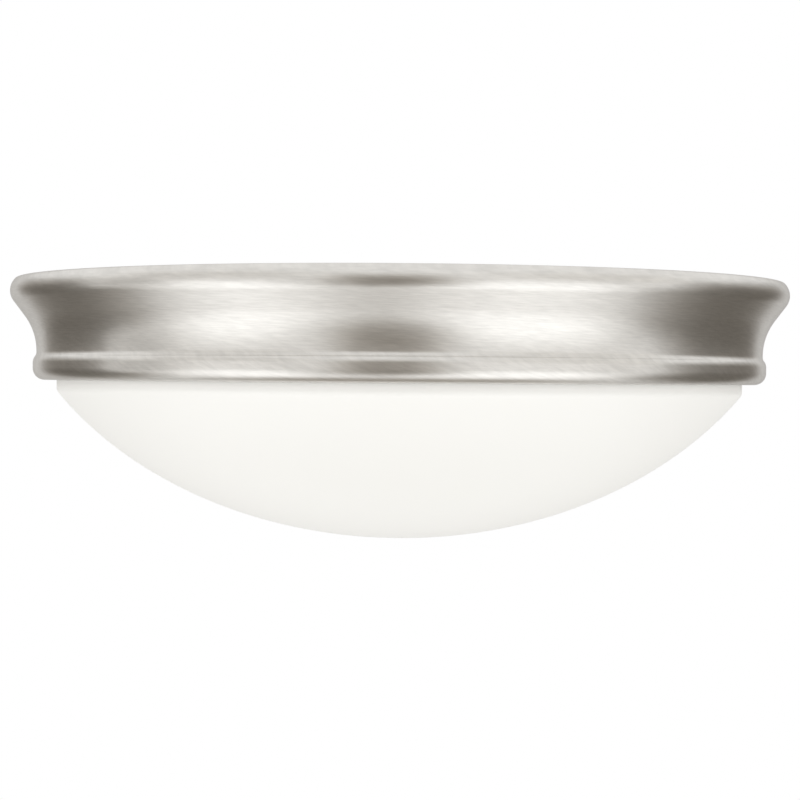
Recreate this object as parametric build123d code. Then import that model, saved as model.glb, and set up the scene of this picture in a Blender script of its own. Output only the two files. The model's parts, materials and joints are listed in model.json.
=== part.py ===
from build123d import *
import math
import os

os.makedirs("parts", exist_ok=True)

# Flush mount ceiling light: a spun steel canopy with a rolled rim, an opal glass bowl held up
# in it by three leaf springs, and two screw-in lamps inside.
# The ceiling is the plane z = 0, and everything hangs below it. Sizes are in millimetres.

# ---------------------------------------------------------------- spun ring of the canopy
ring_r = 178.0            # widest radius, at the upper bead
sheet_t = 0.9             # steel sheet
bead_r = 7.5              # upper bead
edge_r = 2.0              # small round where the bead turns onto the ceiling face
edge_turn = 44.0          # degrees of the upper bead's own arc above its middle
waist_in = 11.9           # from the upper bead's widest radius in to the waist
cove_drop = 27.18         # from the middle of the upper bead down to the waist
cove_straight = 8.4       # straight run between the upper bead and the cove
waist_straight = 0.4      # upright run between the cove and the ledge
ledge_r = 3.0             # hollow under the waist
ledge_straight = 0.38     # sloping run of the ledge over the lower bead
foot_out = 1.6            # from the waist out to the lower bead
foot_straight = 2.5       # upright run of the lower bead
shoulder_r = 4.65         # round on top of the lower bead
heel_r = 5.3              # round at the bottom of the lower bead
lip_in = 9.9              # from the lower bead in to the edge of the lip

# ---------------------------------------------------------------- recessed back of the canopy
recess_out = 1.8          # recess's wall outside the lip's edge
recess_depth = 14.0
recess_bend = 1.5         # inside radius of the sheet's bends

# ---------------------------------------------------------------- opal glass bowl
glass_gap = 0.8           # between the glass and the lip's edge
rim_wall = 5.6            # thickness of the upright wall under the rim
wall_below_lip = 4.7      # lip down to where the upright wall meets the dome
dome_h = 66.9             # upright wall down to the lowest point of the glass
dome_over = 28.4          # half width of the dome's ellipse, past the upright wall
glass_t = 3.5
glass_corner_r = 4.0      # round between the rim's wall and the dome
rim_above_lip = 12.4
rim_round = 1.5
groove_depth = 2.1        # groove under the rim bead, which the springs snap into
groove_top = 3.3          # rim's top down to where the groove starts
groove_slope = 1.8        # height of each sloping side of the groove
groove_floor = 3.4        # height of the groove's floor

# ---------------------------------------------------------------- insulation and reflector
pad_t = 6.0
pad_edge_gap = 3.0        # between the pad and the recess's wall
pad_eye_r = 42.0          # opening for the wiring
pad_screw_r = 16.0        # opening round each mounting screw
reflector_r = 118.0
reflector_t = 0.5

# ---------------------------------------------------------------- crossbar
bar_w = 22.0
bar_t = 2.0
slot_end_gap = 1.3        # from the slots to the steps
bar_drop = 3.2            # step down at each end, which buries the screw heads
bar_end = 7.0             # past the mounting screws
bar_eye_r = 5.2           # hole in the middle of the bar
box_slot_y = 39.7         # centre of each slot for the ceiling box's screws
box_slot_r = 2.4
box_slot_length = 24.0

# ---------------------------------------------------------------- mounting screws and nuts
mount_screw_r = 2.05
step_gap = 0.8            # between the crossbar's step and a screw's head
crown_gap = 0.9           # between a screw's end and the closed end of its nut
mount_head_r = 4.0
mount_head_h = 2.3
thread_gap = 0.08         # between a screw and its hole
nut_r = 7.0
nut_h = 12.0
nut_crown = 2.5           # closed end of the nut
nut_round = 1.5
flute_r = 0.8
flute_count = 18
keyhole_slot_w = 5.4
keyhole_eye_r = 5.2
keyhole_reach = 13.0      # from the screw to the middle of the keyhole's eye

# ---------------------------------------------------------------- wiring hole
bushing_r = 8.9
bushing_wall = 1.4
bushing_gap = 0.1
bushing_flange_w = 2.2
bushing_flange_t = 1.2
bushing_tail = 1.0        # how far the bushing shows below the bracket

# ---------------------------------------------------------------- lampholder bracket
bracket_t = 1.2
bracket_half_x = 14.0     # outer faces, on which the lampholders sit
bracket_w = 44.0
bracket_below_lamp = 20.0 # lamp axis down to the end of the bracket's legs
bracket_corner_r = 8.0
rivet_r = 1.6
rivet_head_r = 3.2
rivet_head_h = 1.2
rivet_gap = 1.7           # between the bushing's flange and the rivets' heads

# ---------------------------------------------------------------- lampholders
lamp_axis_below = 30.6    # reflector down to the lamps' axis
holder_r = 20.0
holder_neck_r = 18.6
holder_base = 15.0        # length of the thicker part
holder_floor = 12.0       # solid porcelain behind the bore
shell_above_floor = 2.5   # floor of the bore up to the brass shell
holder_round = 1.5
holder_screw_y = 12.0
holder_screw_r = 1.6
holder_screw_depth = 8.0
holder_screw_head_r = 3.0
holder_screw_head_h = 1.6
contact_r = 4.0
contact_t = 0.6
contact_button_r = 2.4
contact_button_h = 0.5

# ---------------------------------------------------------------- screw thread of the lamps
lamp_pitch = 3.629
thread_depth = 0.7
lamp_thread_r = 13.1      # crest of the lamp's own thread
holder_play = 0.35        # between the lamp's crest and the lampholder's shell
shell_t = 0.35
shell_fit = 0.1           # between the shell and the porcelain
holder_turns = 7
lamp_turns = 5

# ---------------------------------------------------------------- lamps
contact_gap = 0.3         # eyelet to the lampholder's contact
eyelet_r = 4.6
eyelet_h = 1.4
insulator_h = 5.8
housing_neck_in = 0.2     # neck of the housing inside the thread's crest
housing_h = 25.0
housing_wall = 1.6
housing_round = 3.0
led_board_r = 18.0
led_board_t = 1.6
led_size = 2.8
led_h = 0.7
led_ring_r = 12.0
led_count = 9
globe_r = 24.0
globe_wall = 1.2
globe_centre_rise = 9.0   # housing's edge up to the centre of the globe

# ---------------------------------------------------------------- leads and their connectors
lead_r = 1.2
lead_above_lamp = 8.0     # leads leave the lampholders this far above the lamps' axis
lead_above_flange = 4.6   # leads and connectors over the bushing's flange
lead_x = 3.5              # where the leads rise through the bushing
lead_outer_y = 4.5
lead_inner_y = 1.5
lead_hole_depth = 8.0
lead_hole_gap = 0.2
leg_slot_r = 3.0
connector_x = 14.0        # mouth of each connector
connector_length = 22.0
connector_mouth_r = 4.8
connector_tip_r = 3.2
connector_bore_r = 3.4
connector_bore = 12.0
connector_round = 1.0
connector_ribs = 12
connector_rib_r = 0.45
lead_in_connector = 7.0

# ---------------------------------------------------------------- earth screws and wire
earth_y = 14.0
bar_earth_x = 7.0
canopy_earth_x = 33.0
earth_screw_r = 1.75
earth_head_r = 3.4
earth_head_h = 2.0
earth_wire_r = 0.65
earth_wire_gap = 0.1
earth_wire_tail = 4.5     # wire past each screw
earth_wire_bend = 3.5

# ---------------------------------------------------------------- springs that hold the glass
clip_angles = (90.0, 210.0, 330.0)
clip_t = 0.6
clip_w = 14.0
clip_foot = 20.4          # length of the foot under the canopy's plate, from the upright arm
clip_rivet_in = 13.4      # rivet's distance from the upright arm
clip_wall_gap = 1.6       # behind the spring, to the recess's wall
clip_bend = 2.0
clip_nose_gap = 0.3       # sleeve's nose to the floor of the groove
clip_knee_above = 3.8     # groove's top up to where the spring turns inwards
clip_tail_out = 3.0
clip_tail_down = 3.3
sleeve_t = 0.7
sleeve_on_arm = 3.2       # length of the sleeve up the spring's arm
sleeve_gap = 0.02

touching = 1e-6           # points nearer than this are one point

# ---------------------------------------------------------------- places worked out from these
edge_rise = (bead_r - edge_r) * math.sin(math.radians(edge_turn))
bead_z = -edge_r - edge_rise                 # middle of the upper bead
waist_r = ring_r - waist_in
cove_z = bead_z - cove_drop                  # height of the waist
cove_run = (waist_in - bead_r) ** 2 + cove_drop ** 2 - bead_r ** 2 - cove_straight ** 2
cove_r = cove_run / (2 * waist_in)           # the cove that meets the bead along its straight run
foot_r = waist_r + foot_out
bends_r = shoulder_r + ledge_r
ledge_turn = math.degrees(math.acos((bends_r - foot_out) / math.hypot(bends_r, ledge_straight))
                          - math.atan2(ledge_straight, bends_r))
ledge_rise = (bends_r * math.sin(math.radians(ledge_turn))
              + ledge_straight * math.cos(math.radians(ledge_turn)))
ledge_z = cove_z - waist_straight            # top of the ledge's hollow
shoulder_z = ledge_z - ledge_rise
heel_z = shoulder_z - foot_straight
lip_z = heel_z - heel_r                      # underside of the lip
lip_r = foot_r - lip_in                      # edge of the lip, which the glass passes through
recess_r = lip_r + recess_out
plate_z = -recess_depth                      # top of the canopy's plate
under_z = plate_z - sheet_t                  # its underside
reflector_z = under_z - reflector_t          # underside of the reflector
web_z = reflector_z - bracket_t              # underside of the bracket's web
lamp_z = reflector_z - lamp_axis_below
glass_r = lip_r - glass_gap
glass_inner_r = glass_r - rim_wall
glass_bottom = lip_z - wall_below_lip - dome_h
dome_a = glass_r + dome_over                 # half axes of the ellipse that the dome follows
dome_b = dome_h / (1 - math.sqrt(1 - (glass_r / dome_a) ** 2))
rim_top = lip_z + rim_above_lip
groove_r = glass_r - groove_depth
holder_thread_r = lamp_thread_r + holder_play
bore_r = holder_thread_r + thread_depth + shell_t + shell_fit
contact_top = holder_floor + contact_t + contact_button_h
lamp_start = contact_top + contact_gap       # lamp's tip, measured from the lampholder's back
globe_z = eyelet_h + insulator_h + lamp_turns * lamp_pitch + housing_h
holder_length = holder_floor + shell_above_floor + holder_turns * lamp_pitch + shell_fit
bar_flat = box_slot_y + box_slot_length / 2 + slot_end_gap   # half length that lies on the box
mount_y = bar_flat + bar_drop + step_gap + mount_head_r
bar_half = mount_y + bar_end
mount_screw_low = reflector_z - nut_h + nut_crown + crown_gap
flange_top = plate_z + bushing_flange_t
rivet_y = bushing_r + bushing_flange_w + rivet_gap + rivet_head_r
lead_z = flange_top + lead_above_flange
arm_r = recess_r + sheet_t + clip_wall_gap + clip_t / 2      # upright arm of each spring
clip_rivet_r = arm_r - clip_rivet_in


# ---------------------------------------------------------------- small helpers
def on_circle(centre, radius, degrees):
    """Point on a circle, in the plane of a section."""
    turn = math.radians(degrees)
    return (centre[0] + radius * math.cos(turn), centre[1] + radius * math.sin(turn))


def arc(centre, radius, start, end):
    """Arc of a section from one angle to another."""
    points = [on_circle(centre, radius, a) for a in (start, (start + end) / 2, end)]
    return ThreePointArc(*points)


def spin(edges):
    """Solid of revolution about Z from a closed section of radius and height."""
    return revolve(Plane.XZ * make_face(edges), Axis.Z)


def spin_points(*points):
    return spin(Polyline(*points, close=True))


def rod(x, y, low, high, radius):
    """Upright cylinder between two heights."""
    return Pos(x, y, (low + high) / 2) * Cylinder(radius, high - low)


def block(x, y, z, size_x, size_y, size_z):
    return Pos(x, y, z) * Box(size_x, size_y, size_z)


def along_x(shape, side):
    """Turns a piece made along +Z from the lampholder's back to its place on one side."""
    return Pos(side * bracket_half_x, 0, lamp_z) * Rot(0, 90 * side, 0) * shape


def tube(points, radii, radius):
    """Round wire along straight runs joined by tangent arcs."""
    path = FilletPolyline(*points, radius=radii)
    start = Plane(origin=path @ 0, z_dir=path % 0)
    solid = sweep(start * Circle(radius), path=path)
    ideal = math.pi * radius ** 2 * path.length
    print("wire", round(path.length, 1), "mm long, bends", radii, "volume ratio",
          round(solid.volume / ideal, 4))
    return solid


def save(name, *solids):
    """Writes one node: a single solid, or a group of separate ones."""
    shape = solids[0] if len(solids) == 1 else Compound(children=[s.solid() for s in solids])
    export_step(shape, f"parts/{name}.step")


# ---------------------------------------------------------------- canopy
def ring_side(inset):
    """Edges of the ring's section, from the lip out and up to the ceiling face.

    inset is 0 on the skin that shows and the sheet's thickness on the hidden one.
    """
    heel = (foot_r - heel_r, heel_z)
    shoulder = (foot_r - shoulder_r, shoulder_z)
    ledge = (waist_r + ledge_r, ledge_z)
    cove = (waist_r + cove_r, cove_z)
    bead = (ring_r - bead_r, bead_z)
    edge = on_circle(bead, bead_r - edge_r, edge_turn)
    apart = math.dist(bead, cove)
    away = math.degrees(math.atan2(cove[1] - bead[1], cove[0] - bead[0]))
    tangent = away + math.degrees(math.acos((bead_r + cove_r) / apart))
    out, hollow = -inset, inset
    arcs = [
        (heel, heel_r + out, -90, 0),
        (shoulder, shoulder_r + out, 0, ledge_turn),
        (ledge, ledge_r + hollow, 180 + ledge_turn, 180),
        (cove, cove_r + hollow, 180, 180 + tangent),
        (bead, bead_r + out, tangent, edge_turn),
        (edge, edge_r + out, edge_turn, 90),
    ]
    edges = []
    last = (lip_r, lip_z + inset)
    for centre, radius, start, end in arcs:
        first = on_circle(centre, radius, start)
        if math.dist(last, first) > touching:
            edges.append(Line(last, first))
        edges.append(arc(centre, radius, start, end))
        last = on_circle(centre, radius, end)
    return edges, last


def recess_side(inset, last):
    """Edges of the section from the ceiling face over the joggle to the middle of the plate."""
    wide = recess_bend + sheet_t
    brim = (recess_r + wide, -wide)
    floor = (recess_r - recess_bend, plate_z + recess_bend)
    first = on_circle(brim, wide - inset, 90)
    wall_low = on_circle(floor, recess_bend + inset, 0)
    centre = (0, plate_z - inset)
    return [
        Line(last, first),
        arc(brim, wide - inset, 90, 180),
        Line(on_circle(brim, wide - inset, 180), wall_low),
        arc(floor, recess_bend + inset, 0, -90),
        Line(on_circle(floor, recess_bend + inset, -90), centre),
    ]


def keyhole(angle):
    """Cutter for a twist-on keyhole: a slot at the screw and an eye beside it."""
    slot = block(keyhole_reach / 2, mount_y, under_z, keyhole_reach, keyhole_slot_w, recess_depth / 2)
    end = Pos(0, mount_y, under_z) * Cylinder(keyhole_slot_w / 2, recess_depth / 2)
    eye = Pos(keyhole_reach, mount_y, under_z) * Cylinder(keyhole_eye_r, recess_depth / 2)
    return Rot(0, 0, angle) * (slot + end + eye)


def plate_cut(x, y, radius):
    return rod(x, y, reflector_z - bracket_t, plate_z + bracket_t, radius)


def rivet_places():
    return [(0, rivet_y), (0, -rivet_y)]


def clip_rivet_places():
    return [on_circle((0, 0), clip_rivet_r, a) for a in clip_angles]


def back_openings():
    """Cutters for the holes that the plate and the reflector share."""
    cuts = [keyhole(0), keyhole(180), plate_cut(0, 0, bushing_r + bushing_gap)]
    cuts += [plate_cut(x, y, rivet_r + thread_gap) for x, y in rivet_places()]
    cuts.append(plate_cut(canopy_earth_x, earth_y, earth_screw_r + thread_gap))
    return cuts


outer, outer_end = ring_side(0)
inner, inner_end = ring_side(sheet_t)
section = outer + recess_side(0, outer_end) + inner + recess_side(sheet_t, inner_end)
section.append(Line((0, plate_z), (0, under_z)))
section.append(Line((lip_r, lip_z), (lip_r, lip_z + sheet_t)))
canopy = spin(section)
for cut in back_openings():
    canopy -= cut
for x, y in clip_rivet_places():
    canopy -= plate_cut(x, y, rivet_r + thread_gap)
save("canopy", canopy)

# ---------------------------------------------------------------- insulation pad and reflector
pad_r = recess_r - recess_bend - pad_edge_gap
pad = rod(0, 0, plate_z, plate_z + pad_t, pad_r)
pad_holes = [(0, 0, pad_eye_r), (0, mount_y, pad_screw_r), (0, -mount_y, pad_screw_r)]
pad_holes += [(x, y, rivet_head_r + pad_edge_gap) for x, y in clip_rivet_places()]
for x, y, radius in pad_holes:
    pad -= rod(x, y, plate_z - pad_t, plate_z + 2 * pad_t, radius)
save("insulation_pad", pad)

reflector = rod(0, 0, reflector_z, under_z, reflector_r)
for cut in back_openings():
    reflector -= cut
save("reflector", reflector)


# ---------------------------------------------------------------- crossbar
def bar_section():
    """Side outline of the crossbar: flat in the middle, stepped down at both ends."""
    step_out = bar_flat + bar_drop
    inset = bar_t * math.tan(math.radians(22.5))
    top = [(bar_flat, 0), (step_out, -bar_drop), (bar_half, -bar_drop)]
    low = [(bar_half, -bar_drop - bar_t), (step_out - inset, -bar_drop - bar_t), (bar_flat - inset, -bar_t)]
    right = top + low
    left = [(-y, z) for y, z in reversed(right)]
    return right + left


crossbar = extrude(Plane.YZ * make_face(Polyline(*bar_section(), close=True)), bar_w / 2, both=True)
crossbar = fillet(crossbar.edges().filter_by(Axis.Z).group_by(Axis.Y)[0], bar_w / 4)
crossbar = fillet(crossbar.edges().filter_by(Axis.Z).group_by(Axis.Y)[-1], bar_w / 4)
crossbar -= rod(0, 0, -2 * bar_t, bar_t, bar_eye_r)
crossbar -= rod(bar_earth_x, earth_y, -2 * bar_t, bar_t, earth_screw_r + thread_gap)
for y in (box_slot_y, -box_slot_y):
    straight = box_slot_length - 2 * box_slot_r
    crossbar -= block(0, y, 0, 2 * box_slot_r, straight, 4 * bar_t)
    for end in (y - straight / 2, y + straight / 2):
        crossbar -= rod(0, end, -2 * bar_t, 2 * bar_t, box_slot_r)
for y in (mount_y, -mount_y):
    crossbar -= rod(0, y, -bar_drop - 2 * bar_t, 0, mount_screw_r + thread_gap)
save("crossbar", crossbar)


# ---------------------------------------------------------------- mounting screws and nuts
def mounting_screw(y):
    """Pan head screw, head up in the crossbar's step."""
    shank = rod(0, y, mount_screw_low, -bar_drop, mount_screw_r)
    shank = chamfer(shank.edges().sort_by(Axis.Z)[0], mount_screw_r / 4)
    head = rod(0, y, -bar_drop, -bar_drop + mount_head_h, mount_head_r)
    head = fillet(head.edges().sort_by(Axis.Z)[-1], mount_head_h / 3)
    slot = block(0, y, -bar_drop + mount_head_h, 2 * mount_head_r, mount_head_h / 3, mount_head_h)
    return shank + (head - slot)


def cap_nut(y):
    """Fluted thumb nut with a closed end, tight under the reflector."""
    low = reflector_z - nut_h
    body = rod(0, y, low, reflector_z, nut_r)
    body = fillet(body.edges().sort_by(Axis.Z)[0], nut_round)
    body = chamfer(body.edges().sort_by(Axis.Z)[-1], nut_round / 3)
    for place in PolarLocations(nut_r, flute_count):
        body -= Pos(0, y, reflector_z - nut_h / 2) * place * Cylinder(flute_r, nut_h)
    return body - rod(0, y, low + nut_crown, reflector_z + 1, mount_screw_r + thread_gap)


save("mounting_screws", mounting_screw(mount_y), mounting_screw(-mount_y))
save("cap_nuts", cap_nut(mount_y), cap_nut(-mount_y))

# ---------------------------------------------------------------- wiring bushing
bushing_low = web_z - bushing_tail
bushing_in = bushing_r - bushing_wall
wire_bushing = spin_points(
    (bushing_in, bushing_low), (bushing_r, bushing_low), (bushing_r, plate_z),
    (bushing_r + bushing_flange_w, plate_z), (bushing_r + bushing_flange_w, flange_top),
    (bushing_in, flange_top))
wire_bushing = fillet(wire_bushing.edges().group_by(Axis.Z)[-1], bushing_flange_t / 3)
save("wire_bushing", wire_bushing)

# ---------------------------------------------------------------- lampholder bracket
leg_low = lamp_z - bracket_below_lamp
leg_mid = (leg_low + reflector_z) / 2
leg_height = reflector_z - leg_low
bracket = block(0, 0, leg_mid, 2 * bracket_half_x, bracket_w, leg_height)
bracket -= block(0, 0, leg_mid - bracket_t, 2 * (bracket_half_x - bracket_t), 2 * bracket_w, leg_height)
corners = bracket.edges().filter_by(Axis.X).filter_by(lambda e: e.center().Z < leg_low + 1)
bracket = fillet(corners, bracket_corner_r)
bracket -= plate_cut(0, 0, bushing_r + bushing_gap)
for x, y in rivet_places():
    bracket -= plate_cut(x, y, rivet_r + thread_gap)
lead_z_low = lamp_z + lead_above_lamp
leg_slot = block(0, 0, lead_z_low, 3 * bracket_half_x, 2 * lead_outer_y, 2 * leg_slot_r)
for y in (lead_outer_y, -lead_outer_y):
    leg_slot += Pos(0, y, lead_z_low) * Rot(0, 90, 0) * Cylinder(leg_slot_r, 3 * bracket_half_x)
bracket -= leg_slot
for y in (holder_screw_y, -holder_screw_y):
    hole = Cylinder(holder_screw_r + thread_gap, 3 * bracket_half_x)
    bracket -= Pos(0, y, lamp_z) * Rot(0, 90, 0) * hole
save("lampholder_bracket", bracket)


# ---------------------------------------------------------------- rivets
def rivet(x, y, stack_low, stack_high):
    """Rivet with a domed head on each side of the sheets that it joins."""
    shank = rod(x, y, stack_low, stack_high, rivet_r)
    top = rod(x, y, stack_high, stack_high + rivet_head_h, rivet_head_r)
    top = fillet(top.edges().sort_by(Axis.Z)[-1], rivet_head_h / 2)
    low = rod(x, y, stack_low - rivet_head_h, stack_low, rivet_head_r)
    low = fillet(low.edges().sort_by(Axis.Z)[0], rivet_head_h / 2)
    return shank + top + low


save("bracket_rivets", *[rivet(x, y, web_z, plate_z) for x, y in rivet_places()])


# ---------------------------------------------------------------- screw shells, ringed like a thread
def ringed_shell(start, crest_r, wall, turns):
    """Thin shell with one ring per turn of the thread, crest_r being its outer crest."""
    outside = []
    for turn in range(turns):
        base = start + turn * lamp_pitch
        outside.append((crest_r - thread_depth, base))
        outside.append((crest_r - thread_depth, base + lamp_pitch * 0.2))
        outside.append((crest_r, base + lamp_pitch * 0.45))
        outside.append((crest_r, base + lamp_pitch * 0.65))
    outside.append((crest_r - thread_depth, start + turns * lamp_pitch))
    inside = [(r - wall, z) for r, z in reversed(outside)]
    return spin(Polyline(*outside, *inside, close=True))


def lampholder_body():
    """Porcelain cup with a solid floor, made along +Z from its back."""
    cup = spin_points(
        (0, 0), (holder_r, 0), (holder_r, holder_base), (holder_neck_r, holder_base + holder_round),
        (holder_neck_r, holder_length), (bore_r, holder_length), (bore_r, holder_floor), (0, holder_floor))
    rims = cup.edges().filter_by(GeomType.CIRCLE).group_by(Axis.Z)[-1]
    cup = fillet(rims, (holder_neck_r - bore_r) / 3)
    for y in (holder_screw_y, -holder_screw_y):
        cup -= rod(0, y, -1, holder_screw_depth, holder_screw_r + thread_gap)
    return cup


def lampholder_contact():
    base = rod(0, 0, holder_floor, holder_floor + contact_t, contact_r)
    button = rod(0, 0, holder_floor + contact_t, contact_top, contact_button_r)
    return base + button


def lampholder_screw(y):
    """Screw from inside the bracket into the porcelain."""
    shank = rod(0, y, -bracket_t, holder_screw_depth - holder_screw_r, holder_screw_r)
    head_low = -bracket_t - holder_screw_head_h
    head = rod(0, y, head_low, -bracket_t, holder_screw_head_r)
    head = fillet(head.edges().sort_by(Axis.Z)[0], holder_screw_head_h / 3)
    slot = block(0, y, head_low, 2 * holder_screw_head_r, holder_screw_head_h / 2, holder_screw_head_h)
    return shank + (head - slot)


# Leads of each side: the colour and the place across the bushing
leads_of_side = {
    "right": [("black", -lead_outer_y), ("white", lead_inner_y)],
    "left": [("black", -lead_inner_y), ("white", lead_outer_y)],
}
sides = {"right": 1, "left": -1}
holder_screws = []
for name, side in sides.items():
    holder = along_x(lampholder_body(), side)
    for _, y in leads_of_side[name]:
        start_x = side * bracket_half_x
        hole = Cylinder(lead_r + lead_hole_gap, 2 * lead_hole_depth)
        holder -= Pos(start_x, y, lead_z_low) * Rot(0, 90, 0) * hole
    save(f"lampholder_{name}", holder)
    shell_start = holder_floor + shell_above_floor
    shell = ringed_shell(shell_start, bore_r - shell_fit, shell_t, holder_turns)
    save(f"socket_shell_{name}", along_x(shell, side))
    save(f"socket_contact_{name}", along_x(lampholder_contact(), side))
    holder_screws += [along_x(lampholder_screw(y), side) for y in (holder_screw_y, -holder_screw_y)]
save("lampholder_screws", *holder_screws)


# ---------------------------------------------------------------- lamps
def lamp_pieces():
    """One lamp, made along +Z from the tip of its cap."""
    shell_low = eyelet_h + insulator_h
    shell_high = shell_low + lamp_turns * lamp_pitch
    root_r = lamp_thread_r - thread_depth
    eyelet = rod(0, 0, 0, eyelet_h, eyelet_r)
    eyelet = fillet(eyelet.edges().sort_by(Axis.Z)[0], eyelet_h / 2)
    insulator = spin_points((0, eyelet_h), (eyelet_r, eyelet_h), (root_r - shell_t, shell_low),
                            (root_r - shell_t, shell_low + lamp_pitch), (0, shell_low + lamp_pitch))
    shell = ringed_shell(shell_low, lamp_thread_r, shell_t, lamp_turns)

    board_low = globe_z - housing_wall - led_board_t
    housing_r = lamp_thread_r - housing_neck_in
    mouth_r = math.sqrt(globe_r ** 2 - globe_centre_rise ** 2)
    bowl = [(housing_r, shell_high), (housing_r, shell_high + housing_round), (mouth_r, globe_z)]
    ledge_r_in = mouth_r - housing_wall
    hollow = [(ledge_r_in, globe_z), (led_board_r + housing_wall / 4, globe_z - housing_wall),
              (led_board_r + housing_wall / 4, board_low), (housing_r - housing_wall, board_low),
              (housing_r - housing_wall, shell_high + housing_wall), (0, shell_high + housing_wall),
              (0, shell_high)]
    housing = spin_points(*bowl, *hollow)

    board = rod(0, 0, board_low, board_low + led_board_t, led_board_r)
    board_top = board_low + led_board_t
    for place in PolarLocations(led_ring_r, led_count):
        board += Pos(0, 0, board_top + led_h / 2) * place * Box(led_size, led_size, led_h)

    centre = (0, globe_z + globe_centre_rise)
    start = -math.degrees(math.asin(globe_centre_rise / globe_r))
    inner_r = globe_r - globe_wall
    inner_start = -math.degrees(math.asin(globe_centre_rise / inner_r))
    globe = spin([
        arc(centre, globe_r, start, 90),
        Line(on_circle(centre, globe_r, 90), on_circle(centre, inner_r, 90)),
        arc(centre, inner_r, 90, inner_start),
        Line(on_circle(centre, inner_r, inner_start), on_circle(centre, globe_r, start)),
    ])
    return {"eyelet": eyelet, "insulator": insulator, "screw_shell": shell, "housing": housing,
            "led_board": board, "globe": globe}


for name, side in sides.items():
    for piece, shape in lamp_pieces().items():
        save(f"lamp_{piece}_{name}", along_x(Pos(0, 0, lamp_start) * shape, side))


# ---------------------------------------------------------------- leads
def lead(side, y, heading):
    """Insulated lead from a lampholder's back, up through the bushing and into a connector."""
    start_x = side * (bracket_half_x + lead_hole_depth / 2)
    rise_x = side * lead_x
    end_x = heading * (connector_x + lead_in_connector)
    low_bend = bracket_half_x - lead_x - bracket_t
    high_bend = lead_z - flange_top - lead_hole_gap
    points = [(start_x, y, lead_z_low), (rise_x, y, lead_z_low), (rise_x, y, lead_z), (end_x, y, lead_z)]
    return tube(points, [low_bend, high_bend], lead_r)


def connector(heading, y):
    """Cone-shaped twist-on connector with ribs, its mouth towards the bushing."""
    body = spin([
        Line((connector_bore_r, 0), (connector_mouth_r, 0)),
        Line((connector_mouth_r, 0), (connector_tip_r, connector_length - connector_round)),
        Line((connector_tip_r, connector_length - connector_round),
             (connector_tip_r - connector_round, connector_length)),
        Line((connector_tip_r - connector_round, connector_length), (0, connector_length)),
        Line((0, connector_length), (0, connector_bore)),
        Line((0, connector_bore), (connector_bore_r, connector_bore - connector_bore_r)),
        Line((connector_bore_r, connector_bore - connector_bore_r), (connector_bore_r, 0)),
    ])
    lean = math.degrees(math.atan((connector_mouth_r - connector_tip_r) / connector_length))
    for place in PolarLocations(connector_mouth_r, connector_ribs):
        rib = Rot(0, -lean, 0) * Pos(0, 0, connector_length / 2) * Cylinder(connector_rib_r, connector_length)
        body -= place * rib
    return Pos(heading * connector_x, y, lead_z) * Rot(0, 90 * heading, 0) * body


connector_y = (lead_outer_y + lead_inner_y) / 2
headings = {"black": 1, "white": -1}
for name, side in sides.items():
    for colour, y in leads_of_side[name]:
        save(f"{colour}_lead_{name}", lead(side, y, headings[colour]))
save("black_connector", connector(1, -connector_y))
save("white_connector", connector(-1, connector_y))

# ---------------------------------------------------------------- earth screws and wire
wire_d = 2 * earth_wire_r
bar_under = -bar_t
bar_earth = rod(bar_earth_x, earth_y, bar_under - wire_d, bar_under + bar_t * 0.9, earth_screw_r)
bar_head = rod(bar_earth_x, earth_y, bar_under - wire_d - earth_head_h, bar_under - wire_d, earth_head_r)
bar_head = fillet(bar_head.edges().sort_by(Axis.Z)[0], earth_head_h / 4)
save("crossbar_earth_screw", bar_earth + bar_head)

head_low = plate_z + wire_d
canopy_earth = rod(canopy_earth_x, earth_y, reflector_z - 2 * earth_screw_r, head_low, earth_screw_r)
canopy_head = rod(canopy_earth_x, earth_y, head_low, head_low + earth_head_h, earth_head_r)
canopy_head = fillet(canopy_head.edges().sort_by(Axis.Z)[-1], earth_head_h / 4)
save("canopy_earth_screw", canopy_earth + canopy_head)

wire_y = earth_y - earth_screw_r - earth_wire_r - earth_wire_gap
high_z = bar_under - earth_wire_r
low_z = plate_z + earth_wire_r
high_turn = bar_earth_x + earth_head_r + earth_wire_bend + earth_wire_gap
low_turn = canopy_earth_x - earth_head_r - earth_wire_bend - earth_wire_gap
wire_points = [(bar_earth_x - earth_wire_tail, wire_y, high_z), (high_turn, wire_y, high_z),
               (low_turn, wire_y, low_z), (canopy_earth_x + earth_wire_tail, wire_y, low_z)]
save("earth_wire", tube(wire_points, [earth_wire_bend, earth_wire_bend], earth_wire_r))


# ---------------------------------------------------------------- springs
def strip(points, bends, thickness, width):
    """Bent strip of a given thickness whose middle line follows points in radius and height."""
    line = FilletPolyline(*points, radius=bends)
    band = offset(line, thickness / 2, side=Side.BOTH)
    return extrude(Plane.XZ * make_face(band.edges()), width / 2, both=True)


def clip_points():
    """Middle line of the spring, foot first."""
    foot_z = under_z - clip_t / 2
    groove_z = rim_top - groove_top
    nose_r = groove_r + clip_nose_gap + sleeve_t + clip_t / 2
    nose_z = groove_z - groove_slope - groove_floor / 2
    return [(arm_r - clip_foot, foot_z), (arm_r, foot_z), (arm_r, groove_z + clip_knee_above),
            (nose_r, nose_z), (nose_r + clip_tail_out, nose_z - clip_tail_down)]


def spring_clip():
    clip = strip(clip_points(), [clip_bend, clip_bend, clip_bend / 2], clip_t, clip_w)
    return clip - rod(clip_rivet_r, 0, under_z - 2 * clip_t, under_z + clip_t, rivet_r + thread_gap)


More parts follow.
